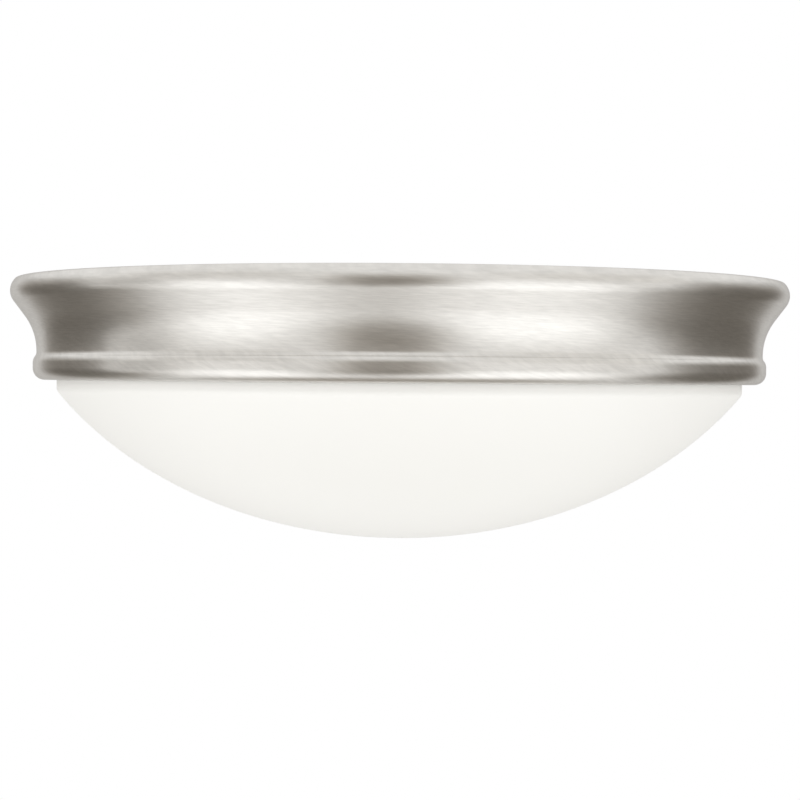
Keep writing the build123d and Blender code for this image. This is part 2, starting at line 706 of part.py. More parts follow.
def clip_sleeve():
    """Vinyl sleeve over the spring's nose, closed round the strip."""
    _, _, knee, nose, tail = clip_points()
    reach = sleeve_on_arm / math.dist(knee, nose)
    start = (nose[0] + (knee[0] - nose[0]) * reach, nose[1] + (knee[1] - nose[1]) * reach)
    path = [start, nose, tail]
    skin = strip(path, [clip_bend / 2], clip_t + 2 * sleeve_t, clip_w + 2 * sleeve_t)
    core = strip([knee, nose, tail], [clip_bend / 2], clip_t + 2 * sleeve_gap, clip_w + 2 * sleeve_gap)
    return skin - core


for number, angle in enumerate(clip_angles, start=1):
    save(f"glass_spring_{number}", Rot(0, 0, angle) * spring_clip())
    save(f"spring_sleeve_{number}", Rot(0, 0, angle) * clip_sleeve())
spring_low = under_z - clip_t
save("spring_rivets", *[rivet(x, y, spring_low, plate_z) for x, y in clip_rivet_places()])


# ---------------------------------------------------------------- opal glass bowl
def dome(radius_limit, half_x, half_z, bottom):
    """Elliptical arc of the bowl's section, from its lowest point out to a radius."""
    size = math.degrees(math.asin(radius_limit / half_x))
    return EllipticalCenterArc((0, bottom + half_z), half_x, half_z, start_angle=-90, arc_size=size)


def glass_section():
    top = groove_top
    heights = [rim_top - top, rim_top - top - groove_slope,
               rim_top - top - groove_slope - groove_floor, rim_top - top - 2 * groove_slope - groove_floor]
    radii = [glass_r, groove_r, groove_r, glass_r]
    outer_dome = dome(glass_r, dome_a, dome_b, glass_bottom)
    inner_dome = dome(glass_inner_r, dome_a - glass_t, dome_b - glass_t, glass_bottom + glass_t)
    low_outer, low_inner = outer_dome @ 1, inner_dome @ 1
    crown = rim_top - rim_round
    return [
        arc((glass_inner_r + rim_round, crown), rim_round, 180, 90),
        Line((glass_inner_r + rim_round, rim_top), (glass_r - rim_round, rim_top)),
        arc((glass_r - rim_round, crown), rim_round, 90, 0),
        Line((glass_r, crown), (radii[0], heights[0])),
        *[Line((radii[i], heights[i]), (radii[i + 1], heights[i + 1])) for i in range(3)],
        Line((radii[3], heights[3]), (low_outer.X, low_outer.Y)),
        outer_dome,
        Line((0, glass_bottom), (0, glass_bottom + glass_t)),
        inner_dome,
        Line((low_inner.X, low_inner.Y), (glass_inner_r, crown)),
    ]


bowl_face = make_face(glass_section())
corner_z = (dome(glass_r, dome_a, dome_b, glass_bottom) @ 1).Y
corner = bowl_face.vertices().sort_by_distance((glass_r, corner_z, 0))[0]
bowl_face = fillet(corner, glass_corner_r)
save("glass_bowl", revolve(Plane.XZ * bowl_face, Axis.Z))
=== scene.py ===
"""Flush mount ceiling light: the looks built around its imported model."""

import json
import math
from types import SimpleNamespace

import bmesh
import bpy
from mathutils import Matrix, Vector, noise


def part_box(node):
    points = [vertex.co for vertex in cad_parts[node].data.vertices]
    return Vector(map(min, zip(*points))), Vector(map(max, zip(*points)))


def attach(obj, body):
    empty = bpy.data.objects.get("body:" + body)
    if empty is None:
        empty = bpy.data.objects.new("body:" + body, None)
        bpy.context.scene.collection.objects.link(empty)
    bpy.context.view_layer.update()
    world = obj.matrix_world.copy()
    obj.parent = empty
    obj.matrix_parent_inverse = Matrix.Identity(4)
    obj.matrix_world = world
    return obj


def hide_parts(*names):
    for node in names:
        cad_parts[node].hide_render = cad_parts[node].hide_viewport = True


bl_info = {
    "name": "Flush Mount Ceiling Light",
    "version": (1, 0, 0),
    "blender": (4, 5, 0),
    "location": "3D View > Sidebar > Ceiling Light",
    "description": "Builds a brushed nickel ceiling light with an opal glass bowl, piece by piece",
    "category": "Object",
}

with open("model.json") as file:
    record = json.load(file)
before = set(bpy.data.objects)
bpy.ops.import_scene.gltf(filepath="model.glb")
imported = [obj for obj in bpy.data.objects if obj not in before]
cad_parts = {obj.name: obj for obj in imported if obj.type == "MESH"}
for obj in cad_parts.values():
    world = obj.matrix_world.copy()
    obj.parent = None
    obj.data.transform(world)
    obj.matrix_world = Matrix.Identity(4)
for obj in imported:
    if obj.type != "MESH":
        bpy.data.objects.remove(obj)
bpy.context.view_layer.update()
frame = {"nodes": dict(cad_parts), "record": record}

MM = 0.001
CUTTER_OVER = 3 * MM  # how far a cutter reaches past what it cuts
SWEEP_R = 0.05  # radius in metres of the circle that a section is swept along
SPRING_ANGLES = (90, 210, 330)  # degrees
CANOPY_LOW, CANOPY_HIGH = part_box("canopy")
BOWL_LOW, BOWL_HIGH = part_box("glass_bowl")
PAD_LOW, PAD_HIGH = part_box("insulation_pad")
SIDES = {"right": 1, "left": -1}


# ---------------------------------------------------------------- sizes and colours a user can change
def length(name, description, millimetres):
    return bpy.props.FloatProperty(name=name, description=description, default=millimetres * MM,
                                   min=0.0, precision=5, subtype="DISTANCE", unit="LENGTH")


def turn(name, description, degrees):
    return bpy.props.FloatProperty(name=name, description=description, default=math.radians(degrees),
                                   subtype="ANGLE", unit="ROTATION")


def colour(name, description, value):
    return bpy.props.FloatVectorProperty(name=name, description=description, default=value, size=3,
                                         min=0.0, max=1.0, subtype="COLOR")


def number(name, description, value):
    return bpy.props.FloatProperty(name=name, description=description, default=value)


def count(name, description, value):
    return bpy.props.IntProperty(name=name, description=description, default=value, min=3)


class CanopySettings(bpy.types.PropertyGroup):
    sheet: length("Sheet", "Thickness of the steel sheet", 0.9)
    bead_r: length("Upper bead", "Radius of the rolled upper bead", 7.5)
    edge_r: length("Top edge", "Small round where the bead turns onto the ceiling face", 2.0)
    edge_turn: turn("Top edge turn", "Where the top edge's round starts on the bead", 44.0)
    waist_in: length("Waist depth", "From the upper bead's widest radius in to the waist", 11.9)
    cove_drop: length("Cove drop", "From the middle of the upper bead down to the waist", 27.18)
    cove_straight: length("Cove straight", "Straight run between the upper bead and the cove", 8.4)
    waist_straight: length("Waist straight", "Upright run between the cove and the ledge", 0.4)
    ledge_r: length("Ledge hollow", "Radius of the hollow under the waist", 3.0)
    ledge_straight: length("Ledge slope", "Sloping run of the ledge", 0.38)
    foot_out: length("Foot", "From the waist out to the lower bead", 1.6)
    foot_straight: length("Foot straight", "Upright run of the lower bead", 2.5)
    shoulder_r: length("Shoulder", "Round on top of the lower bead", 4.65)
    heel_r: length("Heel", "Round at the bottom of the lower bead", 5.3)
    lip_in: length("Lip", "From the lower bead in to the lip's edge", 9.9)
    recess_out: length("Recess wall", "Recess's wall outside the lip's edge", 1.8)
    recess_depth: length("Recess depth", "Ceiling face down to the plate", 14.0)
    recess_bend: length("Recess bend", "Inside radius of the recess's bends", 1.5)
    crease: length("Crease", "Depth of the spun crease over the lower bead", 0.050)
    steps: count("Steps around", "Faces round the ring", 288)


class PlateSettings(bpy.types.PropertyGroup):
    wiring_hole: length("Wiring hole", "Radius of the hole for the wires", 9.0)
    keyhole_slot: length("Keyhole slot", "Half width of a keyhole's slot", 2.7)
    keyhole_eye: length("Keyhole eye", "Radius of a keyhole's eye", 5.2)
    keyhole_reach: length("Keyhole reach", "From a keyhole's narrow end to its eye", 13.0)
    spring_out: length("Spring rivets", "From the middle out to the springs' rivets", 149.0)
    bracket_out: length("Bracket rivets", "From the middle out to the bracket's rivets", 16.0)
    rivet_hole: length("Rivet hole", "Radius of a rivet's hole", 1.68)
    earth_hole: length("Earth hole", "Radius of the earth screw's hole", 1.83)


class BowlSettings(bpy.types.PropertyGroup):
    gap: length("Gap", "Between the glass and the lip's edge", 0.8)
    rim_wall: length("Rim wall", "Thickness of the upright wall", 5.6)
    wall_below_lip: length("Wall", "Lip down to where the upright wall meets the dome", 4.7)
    dome_over: length("Dome reach", "Half width of the dome's ellipse past the wall", 28.4)
    thickness: length("Glass", "Thickness of the dome", 3.5)
    corner_r: length("Corner", "Round between the wall and the dome", 4.0)
    rim_round: length("Rim round", "Round on the rim's edges", 1.5)
    groove_depth: length("Groove depth", "Depth of the groove for the springs", 2.1)
    groove_top: length("Groove top", "Rim's top down to the groove", 3.3)
    groove_slope: length("Groove slope", "Height of the groove's sloping sides", 1.8)
    groove_floor: length("Groove floor", "Height of the groove's floor", 3.4)
    steps: count("Steps around", "Faces round the bowl", 256)


class MetalSettings(bpy.types.PropertyGroup):
    nickel: colour("Nickel", "Colour of the brushed nickel plate", (0.735, 0.716, 0.682))
    nickel_roughness: number("Nickel roughness", "How far the brushing spreads a reflection", 0.31)
    nickel_streak: number("Nickel streak", "How far the spread follows the brushing", 0.65)
    opal: colour("Opal glass", "Colour of the opal glass", (0.955, 0.943, 0.905))
    fibre: colour("Fibre", "Colour of the fibre pad's strands", (0.84, 0.74, 0.43))


class ThreadSettings(bpy.types.PropertyGroup):
    pitch: length("Lamp pitch", "Pitch of the lamps' thread", 3.629)
    depth: length("Lamp thread", "Depth of the lamps' thread", 0.7)
    sheet: length("Thread sheet", "Sheet of the rolled threads", 0.35)
    lamp_root: length("Lamp root", "Radius at the root of a lamp's thread", 12.4)
    socket_root: length("Socket root", "Radius at the root of a lampholder's thread", 13.8)
    rows: count("Rows", "Rows of faces over one turn of a thread", 14)
    steps: count("Steps around", "Faces round a thread", 72)


class FastenerSettings(bpy.types.PropertyGroup):
    root: length("Screw root", "Radius at the root of a mounting screw's thread", 1.72)
    depth: length("Screw thread", "Depth of a mounting screw's thread", 0.32)
    pitch: length("Screw pitch", "Pitch of a mounting screw's thread", 0.794)
    tip_r: length("Tip", "Radius of a mounting screw's tip", 1.032)
    taper: length("Taper", "Length of a mounting screw's tapered end", 0.6)
    first_row: length("First row", "From the taper to the thread's first row of faces", 0.2)
    run_out: length("Run-out", "Plain length between the thread and the head", 1.0)
    head_height: length("Head", "Height of a mounting screw's head", 2.3)
    head_round: length("Head round", "Round on top of the head", 0.8)
    head_edge: length("Head edge", "Bevel at the foot of the head", 0.2)
    slot_half: length("Slot", "Half width of the slot in the head", 0.4)
    slot_depth: length("Slot depth", "Depth of the slot in the head", 1.1)
    rows: count("Rows", "Rows of faces over one turn of a mounting screw's thread", 9)
    screw_steps: count("Steps around a screw", "Faces round a mounting screw", 36)
    rivet_shank: length("Rivet shank", "Radius of a rivet's shank", 1.6)
    rivet_head: length("Rivet head", "Radius of a rivet's head", 3.2)
    rivet_rise: length("Rivet rise", "Height of a rivet's domed head", 1.2)
    rivet_steps: count("Steps around a rivet", "Faces round a rivet", 32)


class PadSettings(bpy.types.PropertyGroup):
    voxel: length("Grain of the mesh", "Spacing of the fibre pad's mesh", 2.2)
    edge_in: length("Edge", "How far the edge is drawn in, to leave room for its lumps", 0.4)
    opening: length("Opening", "Radius of the opening for the wiring", 42.0)
    screw_opening: length("Screw openings", "Radius of the openings round the mounting screws", 16.4)
    notch: length("Notches", "Radius of the notches round the springs' rivets", 6.4)
    lift: length("Lift", "Least height of the fibre over the plate", 0.05)
    lump: length("Lumps", "Height of the soft lumps in the fibre", 0.55)
    lump_pace: number("Lump pace", "Cells of the lumps' noise to a metre", 90.0)
    tuft: length("Tufts", "Height of the small tufts in the fibre", 0.25)
    tuft_pace: number("Tuft pace", "Cells of the tufts' noise to a metre", 420.0)
    fill: number("Fill", "How full the pad is, from 0 to 1", 0.5)


class StudioSettings(bpy.types.PropertyGroup):
    camera_away: length("Camera distance", "Camera to the light's axis", 985.9)
    camera_below: length("Camera height", "Ceiling plane down to the camera", 43.97)
    lens: number("Lens", "Focal length in millimetres on a 36 mm sensor", 95.625)
    shift_x: number("Shift across", "Lens's shift across, as a share of the picture", 0.000775)
    shift_y: number("Shift up", "Lens's shift up, as a share of the picture", -0.02734)
    roll: turn("Roll", "Camera's roll", 0.42971835)
    floor_below: length("Floor", "Ceiling plane down to the floor", 2400.0)
    floor_half: length("Floor size", "Half width of the floor", 6000.0)
    floor_glow: number("Floor glow", "Radiance of the floor where it is seen or mirrored", 0.16)
    card_away: length("Card distance", "From the light's middle to each card", 1750.0)
    card_aim: length("Card aim", "Ceiling plane down to the point that the cards face", 30.0)
    ambient: number("Ambient", "Strength of the even light from all round", 1.13)
    softbox: number("Softbox", "Radiance at the middle of each front softbox", 1.50)
    card: number("Dark card", "Radiance at the middle of each dark card", 0.12)


SETTINGS = {"light_canopy": CanopySettings, "light_plate": PlateSettings, "light_bowl": BowlSettings,
            "light_metal": MetalSettings, "light_thread": ThreadSettings,
            "light_fasteners": FastenerSettings, "light_pad": PadSettings,
            "light_studio": StudioSettings}


# ---------------------------------------------------------------- sections of turned pieces
def on_circle(centre, radius, angle):
    return (centre[0] + radius * math.cos(angle), centre[1] + radius * math.sin(angle))


def arc(centre, radius, start, end, step=math.radians(4)):
    """Points of an arc in a section, both ends among them; angles are in radians."""
    parts = max(2, math.ceil(abs(end - start) / step))
    return [on_circle(centre, radius, start + (end - start) * i / parts) for i in range(parts + 1)]


def ring_sizes(s):
    """Centres and angles of the ring's section, worked out from the canopy's sizes."""
    ring_r = CANOPY_HIGH.x
    edge_rise = (s.bead_r - s.edge_r) * math.sin(s.edge_turn)
    bead = (ring_r - s.bead_r, -s.edge_r - edge_rise)
    waist_r = ring_r - s.waist_in
    cove_z = bead[1] - s.cove_drop
    run = (s.waist_in - s.bead_r) ** 2 + s.cove_drop ** 2 - s.bead_r ** 2 - s.cove_straight ** 2
    cove_r = run / (2 * s.waist_in)
    cove = (waist_r + cove_r, cove_z)
    bends = s.shoulder_r + s.ledge_r
    slope = (math.acos((bends - s.foot_out) / math.hypot(bends, s.ledge_straight))
             - math.atan2(s.ledge_straight, bends))
    rise = bends * math.sin(slope) + s.ledge_straight * math.cos(slope)
    ledge = (waist_r + s.ledge_r, cove_z - s.waist_straight)
    foot_r = waist_r + s.foot_out
    shoulder = (foot_r - s.shoulder_r, ledge[1] - rise)
    heel = (foot_r - s.heel_r, shoulder[1] - s.foot_straight)
    lip = (foot_r - s.lip_in, heel[1] - s.heel_r)
    away = math.atan2(cove[1] - bead[1], cove[0] - bead[0])
    tangent = away + math.acos((s.bead_r + cove_r) / math.dist(bead, cove))
    edge = on_circle(bead, s.bead_r - s.edge_r, s.edge_turn)
    return SimpleNamespace(bead=bead, edge=edge, cove=cove, cove_r=cove_r, ledge=ledge, slope=slope,
                           shoulder=shoulder, heel=heel, lip=lip, tangent=tangent)


def canopy_section(s):
    """Closed section of the spun sheet, as radius and height."""
    ring = ring_sizes(s)
    right = math.pi / 2
    plate_z = -s.recess_depth
    recess_r = ring.lip[0] + s.recess_out
    wide = s.recess_bend + s.sheet
    brim = (recess_r + wide, -wide)
    floor = (recess_r - s.recess_bend, plate_z + s.recess_bend)
    flat_r = floor[0] - 2 * s.recess_bend

    def skin(inset, crease):
        """From the lip's edge out and up over the ring, into the recess and to the middle."""
        points = [(ring.lip[0], ring.lip[1] + inset)]
        points += arc(ring.heel, s.heel_r - inset, -right, 0)
        points += arc(ring.shoulder, s.shoulder_r - inset, 0, ring.slope)
        low, high = points[-1], on_circle(ring.ledge, s.ledge_r + inset, math.pi + ring.slope)
        if crease:
            middle = ((low[0] + high[0]) / 2, (low[1] + high[1]) / 2)
            points += [(middle[0] - crease, middle[1] - crease / 2)]
        points += arc(ring.ledge, s.ledge_r + inset, math.pi + ring.slope, math.pi)
        points += arc(ring.cove, ring.cove_r + inset, math.pi, math.pi + ring.tangent)
        points += arc(ring.bead, s.bead_r - inset, ring.tangent, s.edge_turn)
        points += arc(ring.edge, s.edge_r - inset, s.edge_turn, right)
        points += arc(brim, wide - inset, right, math.pi)
        points += arc(floor, s.recess_bend + inset, 0, -right)
        points += [(flat_r, plate_z - inset), (0, plate_z - inset)]
        return points

    return skin(0, s.crease) + list(reversed(skin(s.sheet, 0)))


def dome(radius_limit, half_x, half_z, bottom, parts):
    """Points of the bowl's elliptical arc, from its lowest point out to a radius."""
    last = math.asin(radius_limit / half_x)
    return [(half_x * math.sin(last * i / parts), bottom + half_z * (1 - math.cos(last * i / parts)))
            for i in range(parts + 1)]


def rounded(points, index, radius, parts=6):
    """The points with the corner at index replaced by an arc."""
    before, corner, after = (Vector(points[i]) for i in (index - 1, index, index + 1))
    a, b = (before - corner).normalized(), (after - corner).normalized()
    half = a.angle(b) / 2
    reach = radius / math.tan(half)
    centre = corner + (a + b).normalized() * radius / math.sin(half)
    start, end = corner + a * reach - centre, corner + b * reach - centre
    swing = start.angle_signed(end)
    made = []
    for i in range(parts + 1):
        angle = math.atan2(start.y, start.x) - swing * i / parts
        made.append((centre.x + radius * math.cos(angle), centre.y + radius * math.sin(angle)))
    return points[:index] + made + points[index + 1:]


def bowl_section(s, lip_r):
    """Closed section of the opal glass, from the dome's lowest point outside up and back inside."""
    right = math.pi / 2
    glass_r = lip_r - s.gap
    inner_r = glass_r - s.rim_wall
    rim, bottom = BOWL_HIGH.z, BOWL_LOW.z
    dome_h = CANOPY_LOW.z - s.wall_below_lip - bottom
    dome_a = glass_r + s.dome_over
    dome_b = dome_h / (1 - math.sqrt(1 - (glass_r / dome_a) ** 2))
    outer = dome(glass_r, dome_a, dome_b, bottom, parts=64)
    inner = dome(inner_r, dome_a - s.thickness, dome_b - s.thickness, bottom + s.thickness, parts=48)
    groove_r = glass_r - s.groove_depth
    high = rim - s.groove_top
    low = high - s.groove_slope - s.groove_floor
    wall = [(glass_r, low - s.groove_slope), (groove_r, low), (groove_r, high - s.groove_slope),
            (glass_r, high)]
    line = rounded(outer + wall, len(outer) - 1, s.corner_r)
    crown, step = rim - s.rim_round, math.radians(10)
    line += arc((glass_r - s.rim_round, crown), s.rim_round, 0, right, step)
    line += arc((inner_r + s.rim_round, crown), s.rim_round, right, math.pi, step)
    return line + list(reversed(inner))


# ---------------------------------------------------------------- Geometry Nodes: a turned piece
class Wiring:
    """Short way to add nodes to a tree and join their sockets."""

    def __init__(self, tree):
        self.tree = tree

    def __call__(self, kind, inputs=None, **settings):
        node = self.tree.nodes.new(kind)
        for key, value in settings.items():
            setattr(node, key, value)
        self.fill(node, inputs or {})
        return node

    def fill(self, node, inputs):
        for key, value in inputs.items():
            self.feed(node.inputs[key], value)

    def feed(self, socket, value):
        """Gives a socket a value, another socket or a node, which stands for its first output."""
        if isinstance(value, bpy.types.Node):
            value = next(o for o in value.outputs if o.enabled)
        if isinstance(value, bpy.types.NodeSocket):
            self.tree.links.new(value, socket)
        else:
            socket.default_value = value

    def maths(self, operation, *values):
        return self("ShaderNodeMath", dict(enumerate(values)), operation=operation)

    def from_axis(self, x, y):
        """Distance from the Z axis."""
        squares = self.maths("ADD", self.maths("MULTIPLY", x, x), self.maths("MULTIPLY", y, y))
        return self.maths("SQRT", squares)

    def ranged(self, value, low=0.0, high=1.0, start=0.0, end=1.0, **settings):
        """A value between low and high carried over to between start and end."""
        return self("ShaderNodeMapRange", {"Value": value, "From Min": low, "From Max": high,
                                           "To Min": start, "To Max": end}, **settings)

    def grain(self, vector, scale=1.0, detail=2.0, roughness=0.5):
        """Strength of a noise read at a vector, 0.5 on average."""
        node = self("ShaderNodeTexNoise", {"Vector": vector, "Scale": scale, "Detail": detail,
                                           "Roughness": roughness})
        return node.outputs["Fac"]

    def bump(self, height, strength, depth):
        """Normal of a skin raised by a height from 0 to 1; depth is in metres."""
        return self("ShaderNodeBump", {"Height": height, "Strength": strength, "Distance": depth})

    def blend(self, factor, first, second, how="MIX"):
        """One colour mixed into another."""
        node = self("ShaderNodeMix", {"Factor": factor, "A": first, "B": second}, data_type="RGBA",
                    blend_type=how)
        return node.outputs["Result"]


def turned_tree():
    """Geometry Nodes group: spins a section about Z, threads it, cuts holes and sets out copies.

    The section is a closed line with its radius, less the path's, in X and its height, downwards, in Y.
    """
    tree = bpy.data.node_groups.new("turned_piece", "GeometryNodeTree")
    sockets = [("Section", "NodeSocketGeometry", None), ("Path Radius", "NodeSocketFloat", SWEEP_R),
               ("Steps", "NodeSocketInt", 64), ("Thread Pitch", "NodeSocketFloat", 1.0),
               ("Thread Depth", "NodeSocketFloat", 0.0), ("Thread Low", "NodeSocketFloat", 0.0),
               ("Thread High", "NodeSocketFloat", 0.0), ("Thread Core", "NodeSocketFloat", 1.0),
               ("Holes", "NodeSocketObject", None), ("Cut Holes", "NodeSocketBool", False),
               ("Places", "NodeSocketObject", None), ("Material", "NodeSocketMaterial", None)]
    for name, kind, default in sockets:
        made = tree.interface.new_socket(name, in_out="INPUT", socket_type=kind)
        if default is not None:
            made.default_value = default
    tree.interface.new_socket("Piece", in_out="OUTPUT", socket_type="NodeSocketGeometry")
    add = Wiring(tree)
    given = add("NodeGroupInput").outputs
    path = add("GeometryNodeCurvePrimitiveCircle", {"Radius": given["Path Radius"],
                                                    "Resolution": given["Steps"]})
    upright = add("GeometryNodeSetCurveNormal", {"Curve": path}, mode="Z_UP")
    line = add("GeometryNodeMeshToCurve", {"Mesh": given["Section"]})
    spun = add("GeometryNodeCurveToMesh", {"Curve": upright, "Profile Curve": line})
    closed = add("GeometryNodeMergeByDistance", {"Geometry": spun, "Distance": 1e-5})

    # a helical ridge outside the core: height / pitch less the turn gives the place on the thread
    place = add("ShaderNodeSeparateXYZ", {"Vector": add("GeometryNodeInputPosition")})
    x, y, z = place.outputs
    around = add.maths("DIVIDE", add.maths("ARCTAN2", y, x), math.tau)
    phase = add.maths("SUBTRACT", add.maths("DIVIDE", z, given["Thread Pitch"]), around)
    wave = add.maths("COSINE", add.maths("MULTIPLY", phase, math.tau))
    ridge = add.ranged(wave, low=-0.6, high=0.9, interpolation_type="SMOOTHSTEP")
    ends = []
    for edge, sign in (("Thread Low", 1), ("Thread High", -1)):
        inward = add.maths("MULTIPLY", add.maths("SUBTRACT", z, given[edge]), sign)
        ends.append(add.ranged(inward, high=given["Thread Pitch"], interpolation_type="SMOOTHSTEP"))
    depth = add.maths("MULTIPLY", given["Thread Depth"], ridge)
    depth = add.maths("MULTIPLY", depth, add.maths("MULTIPLY", *ends))
    outside = add.maths("GREATER_THAN", add.from_axis(x, y), given["Thread Core"])
    depth = add.maths("MULTIPLY", depth, outside)
    flat = add("ShaderNodeCombineXYZ", {"X": x, "Y": y})
    outward = add("ShaderNodeVectorMath", {0: flat}, operation="NORMALIZE")
    shift = add("ShaderNodeVectorMath", {0: outward, "Scale": depth}, operation="SCALE")
    threaded = add("GeometryNodeSetPosition", {"Geometry": closed, "Offset": shift})

    cutters = add("GeometryNodeObjectInfo", {"Object": given["Holes"]})
    cut = add("GeometryNodeMeshBoolean", {"Mesh 1": threaded, "Mesh 2": cutters.outputs["Geometry"]},
              operation="DIFFERENCE", solver="EXACT")
    chosen = add("GeometryNodeSwitch", {"Switch": given["Cut Holes"], "False": threaded, "True": cut},
                 input_type="GEOMETRY")
    spots = add("GeometryNodeObjectInfo", {"Object": given["Places"]})
    copies = add("GeometryNodeInstanceOnPoints", {"Points": spots.outputs["Geometry"],
                                                  "Instance": chosen})
    real = add("GeometryNodeRealizeInstances", {"Geometry": copies})
    coloured = add("GeometryNodeSetMaterial", {"Geometry": real, "Material": given["Material"]})
    add("NodeGroupOutput", {"Piece": coloured})
    return tree


def mesh_object(name, points, edges=(), faces=()):
    mesh = bpy.data.meshes.new(name)
    mesh.from_pydata(points, edges, faces)
    made = bpy.data.objects.new(name, mesh)
    bpy.context.scene.collection.objects.link(made)
    return made


def discard(*objects):
    for thing in objects:
        mesh = thing.data
        bpy.data.objects.remove(thing)
        bpy.data.meshes.remove(mesh)


def settle(mesh, sharp):
    """Merges doubles, turns every face outwards and smooths all but the sharp edges."""
    work = bmesh.new()
    work.from_mesh(mesh)
    bmesh.ops.remove_doubles(work, verts=work.verts, dist=1e-6)
    bmesh.ops.recalc_face_normals(work, faces=work.faces)
    work.to_mesh(mesh)
    work.free()
    mesh.shade_smooth()
    mesh.set_sharp_from_angle(angle=sharp)


def turned(name, section, steps, material, holes=None, places=((0, 0, 0),), thread=None, sharp=40.0):
    """One turned piece, made by the Geometry Nodes group and left as a plain mesh."""
    tree = bpy.data.node_groups.get("turned_piece") or turned_tree()
    points = [(r - SWEEP_R, -z, 0) for r, z in section]
    edges = [(i, (i + 1) % len(points)) for i in range(len(points))]
    source = mesh_object(name + "_section", points, edges)
    spots = mesh_object(name + "_places", list(places))
    values = {"Path Radius": SWEEP_R, "Steps": steps, "Cut Holes": holes is not None,
              "Places": spots, "Material": material}
    if holes:
        values["Holes"] = holes
    values.update(thread or {})
    modifier = source.modifiers.new("turned_piece", "NODES")
    modifier.node_group = tree
    for item in tree.interface.items_tree:
        if item.in_out == "INPUT" and item.name in values:
            modifier[item.identifier] = values[item.name]
    source.update_tag()
    bpy.context.view_layer.update()
    shaped = source.evaluated_get(bpy.context.evaluated_depsgraph_get())
    mesh = bpy.data.meshes.new_from_object(shaped)
    mesh.name = name
    piece = bpy.data.objects.new(name, mesh)
    bpy.context.scene.collection.objects.link(piece)
    discard(source, spots)
    settle(mesh, math.radians(sharp))
    return piece


# ---------------------------------------------------------------- materials
def new_material(name):
    material = bpy.data.materials.new(name)
    material.use_nodes = True
    material.node_tree.nodes.clear()
    add = Wiring(material.node_tree)
    shader = add("ShaderNodeBsdfPrincipled")
    add("ShaderNodeOutputMaterial", {"Surface": shader})
    return material, add, shader


def spun_vector(add, around, along, lean=0.0):
    """Coordinates for brushing round Z: slow round the axis, fast across the metal's section.

    lean turns the lines off the circle; the join of the leaning lines is at the back.
    """
    place = add("ShaderNodeTexCoord").outputs["Object"]
    x, y, z = add("ShaderNodeSeparateXYZ", {"Vector": place}).outputs
    radius = add.from_axis(x, y)
    across = add.maths("MULTIPLY", add.maths("ADD", z, radius), along)
    if lean:
        angle = add.maths("ARCTAN2", x, add.maths("MULTIPLY", y, -1.0))
        across = add.maths("ADD", across, add.maths("MULTIPLY", angle, lean * along * CANOPY_HIGH.x))
    turned_x = add.maths("MULTIPLY", add.maths("DIVIDE", x, radius), around)
    turned_y = add.maths("MULTIPLY", add.maths("DIVIDE", y, radius), around)
    return add("ShaderNodeCombineXYZ", {"X": turned_x, "Y": turned_y, "Z": across})


def nickel_material(s):
    """Satin nickel, brushed round the ring as it was spun."""
    ledge_z, bead_z, uneven = -0.030, -0.036, 0.015
    material, add, shader = new_material("brushed_nickel")
    fine = add.grain(spun_vector(add, around=14.0, along=2600.0), detail=3.0, roughness=0.6)
    lines = add.grain(spun_vector(add, around=22.0, along=950.0, lean=0.07), roughness=0.6)
    cross = add.grain(spun_vector(add, around=24.0, along=640.0, lean=0.34), roughness=0.6)
    soft = add.grain(spun_vector(add, around=5.0, along=160.0), detail=3.0)
    place = add("ShaderNodeTexCoord").outputs["Object"]
    height = add("ShaderNodeSeparateXYZ", {"Vector": place}).outputs["Z"]
    on_low_bead = add.ranged(height, low=ledge_z, high=bead_z, start=0.25, end=0.85)
    coarse = add("ShaderNodeMix", {"Factor": on_low_bead, "A": lines, "B": cross}, data_type="FLOAT")
    both = add.maths("ADD", add.maths("MULTIPLY", fine, 0.35),
                     add.maths("MULTIPLY", coarse.outputs["Result"], 0.65))
    shade = add.ranged(both, low=0.38, high=0.62, start=0.91, end=1.05)
    rough = add.ranged(soft, low=0.3, high=0.7, start=s.nickel_roughness - uneven,
                       end=s.nickel_roughness + uneven)
    tangent = add("ShaderNodeTangent", direction_type="RADIAL", axis="Z")
    add.fill(shader, {"Base Color": add.blend(1.0, (*s.nickel, 1.0), shade, "MULTIPLY"),
                      "Metallic": 1.0, "Roughness": rough, "Normal": add.bump(both, 0.20, 0.0002),
                      "Anisotropic": s.nickel_streak, "Anisotropic Rotation": 0.25,
                      "Tangent": tangent})
    return material


def opal_material(s):
    """Opal white glass with a satin skin."""
    material, add, shader = new_material("opal_glass")
    place = add("ShaderNodeTexCoord").outputs["Object"]
    paler = [min(1.0, level * 1.01) for level in s.opal]
    tone = add.blend(add.grain(place, scale=9.0), (*s.opal, 1.0), (*paler, 1.0))
    add.fill(shader, {"Base Color": tone, "Roughness": 0.42, "IOR": 1.5, "Specular IOR Level": 0.35,
                      "Subsurface Weight": 0.15, "Subsurface Radius": (1.0, 1.0, 1.0),
                      "Subsurface Scale": 0.008})
    return material


